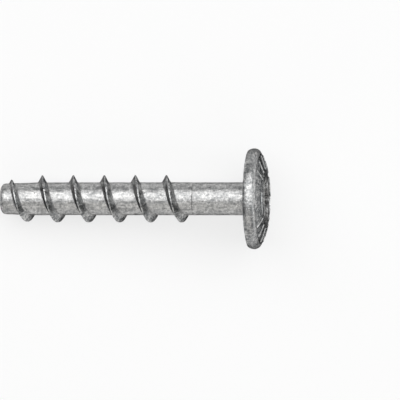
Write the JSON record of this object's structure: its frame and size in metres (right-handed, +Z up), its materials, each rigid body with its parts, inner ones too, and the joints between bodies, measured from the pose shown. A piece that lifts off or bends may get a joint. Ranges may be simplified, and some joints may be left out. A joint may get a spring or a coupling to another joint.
{
  "type": "concrete screw",
  "caption": "Steel concrete screw with a wide domed pan head, a lobed drive recess and a coarse right-hand thread on a blunt shank, for fixing plates and clips in drilled masonry.",
  "frame": {"origin": "on the table, under the middle of the lying screw's outline", "axes": "+X from the tip towards the head, +Z up from the table, +Y completes a right-handed frame; the screw's own axis rises towards the head by about 6.8 degrees, because it rests on its rim and on one thread crest"},
  "size_m": [0.043, 0.0158, 0.0158],
  "materials": {
    "zinc_plated_steel": "matt, finely mottled zinc plating on cold-formed steel"
  },
  "bodies": {
    "root": {"concrete_screw": "zinc_plated_steel"}
  },
  "joints": []
}
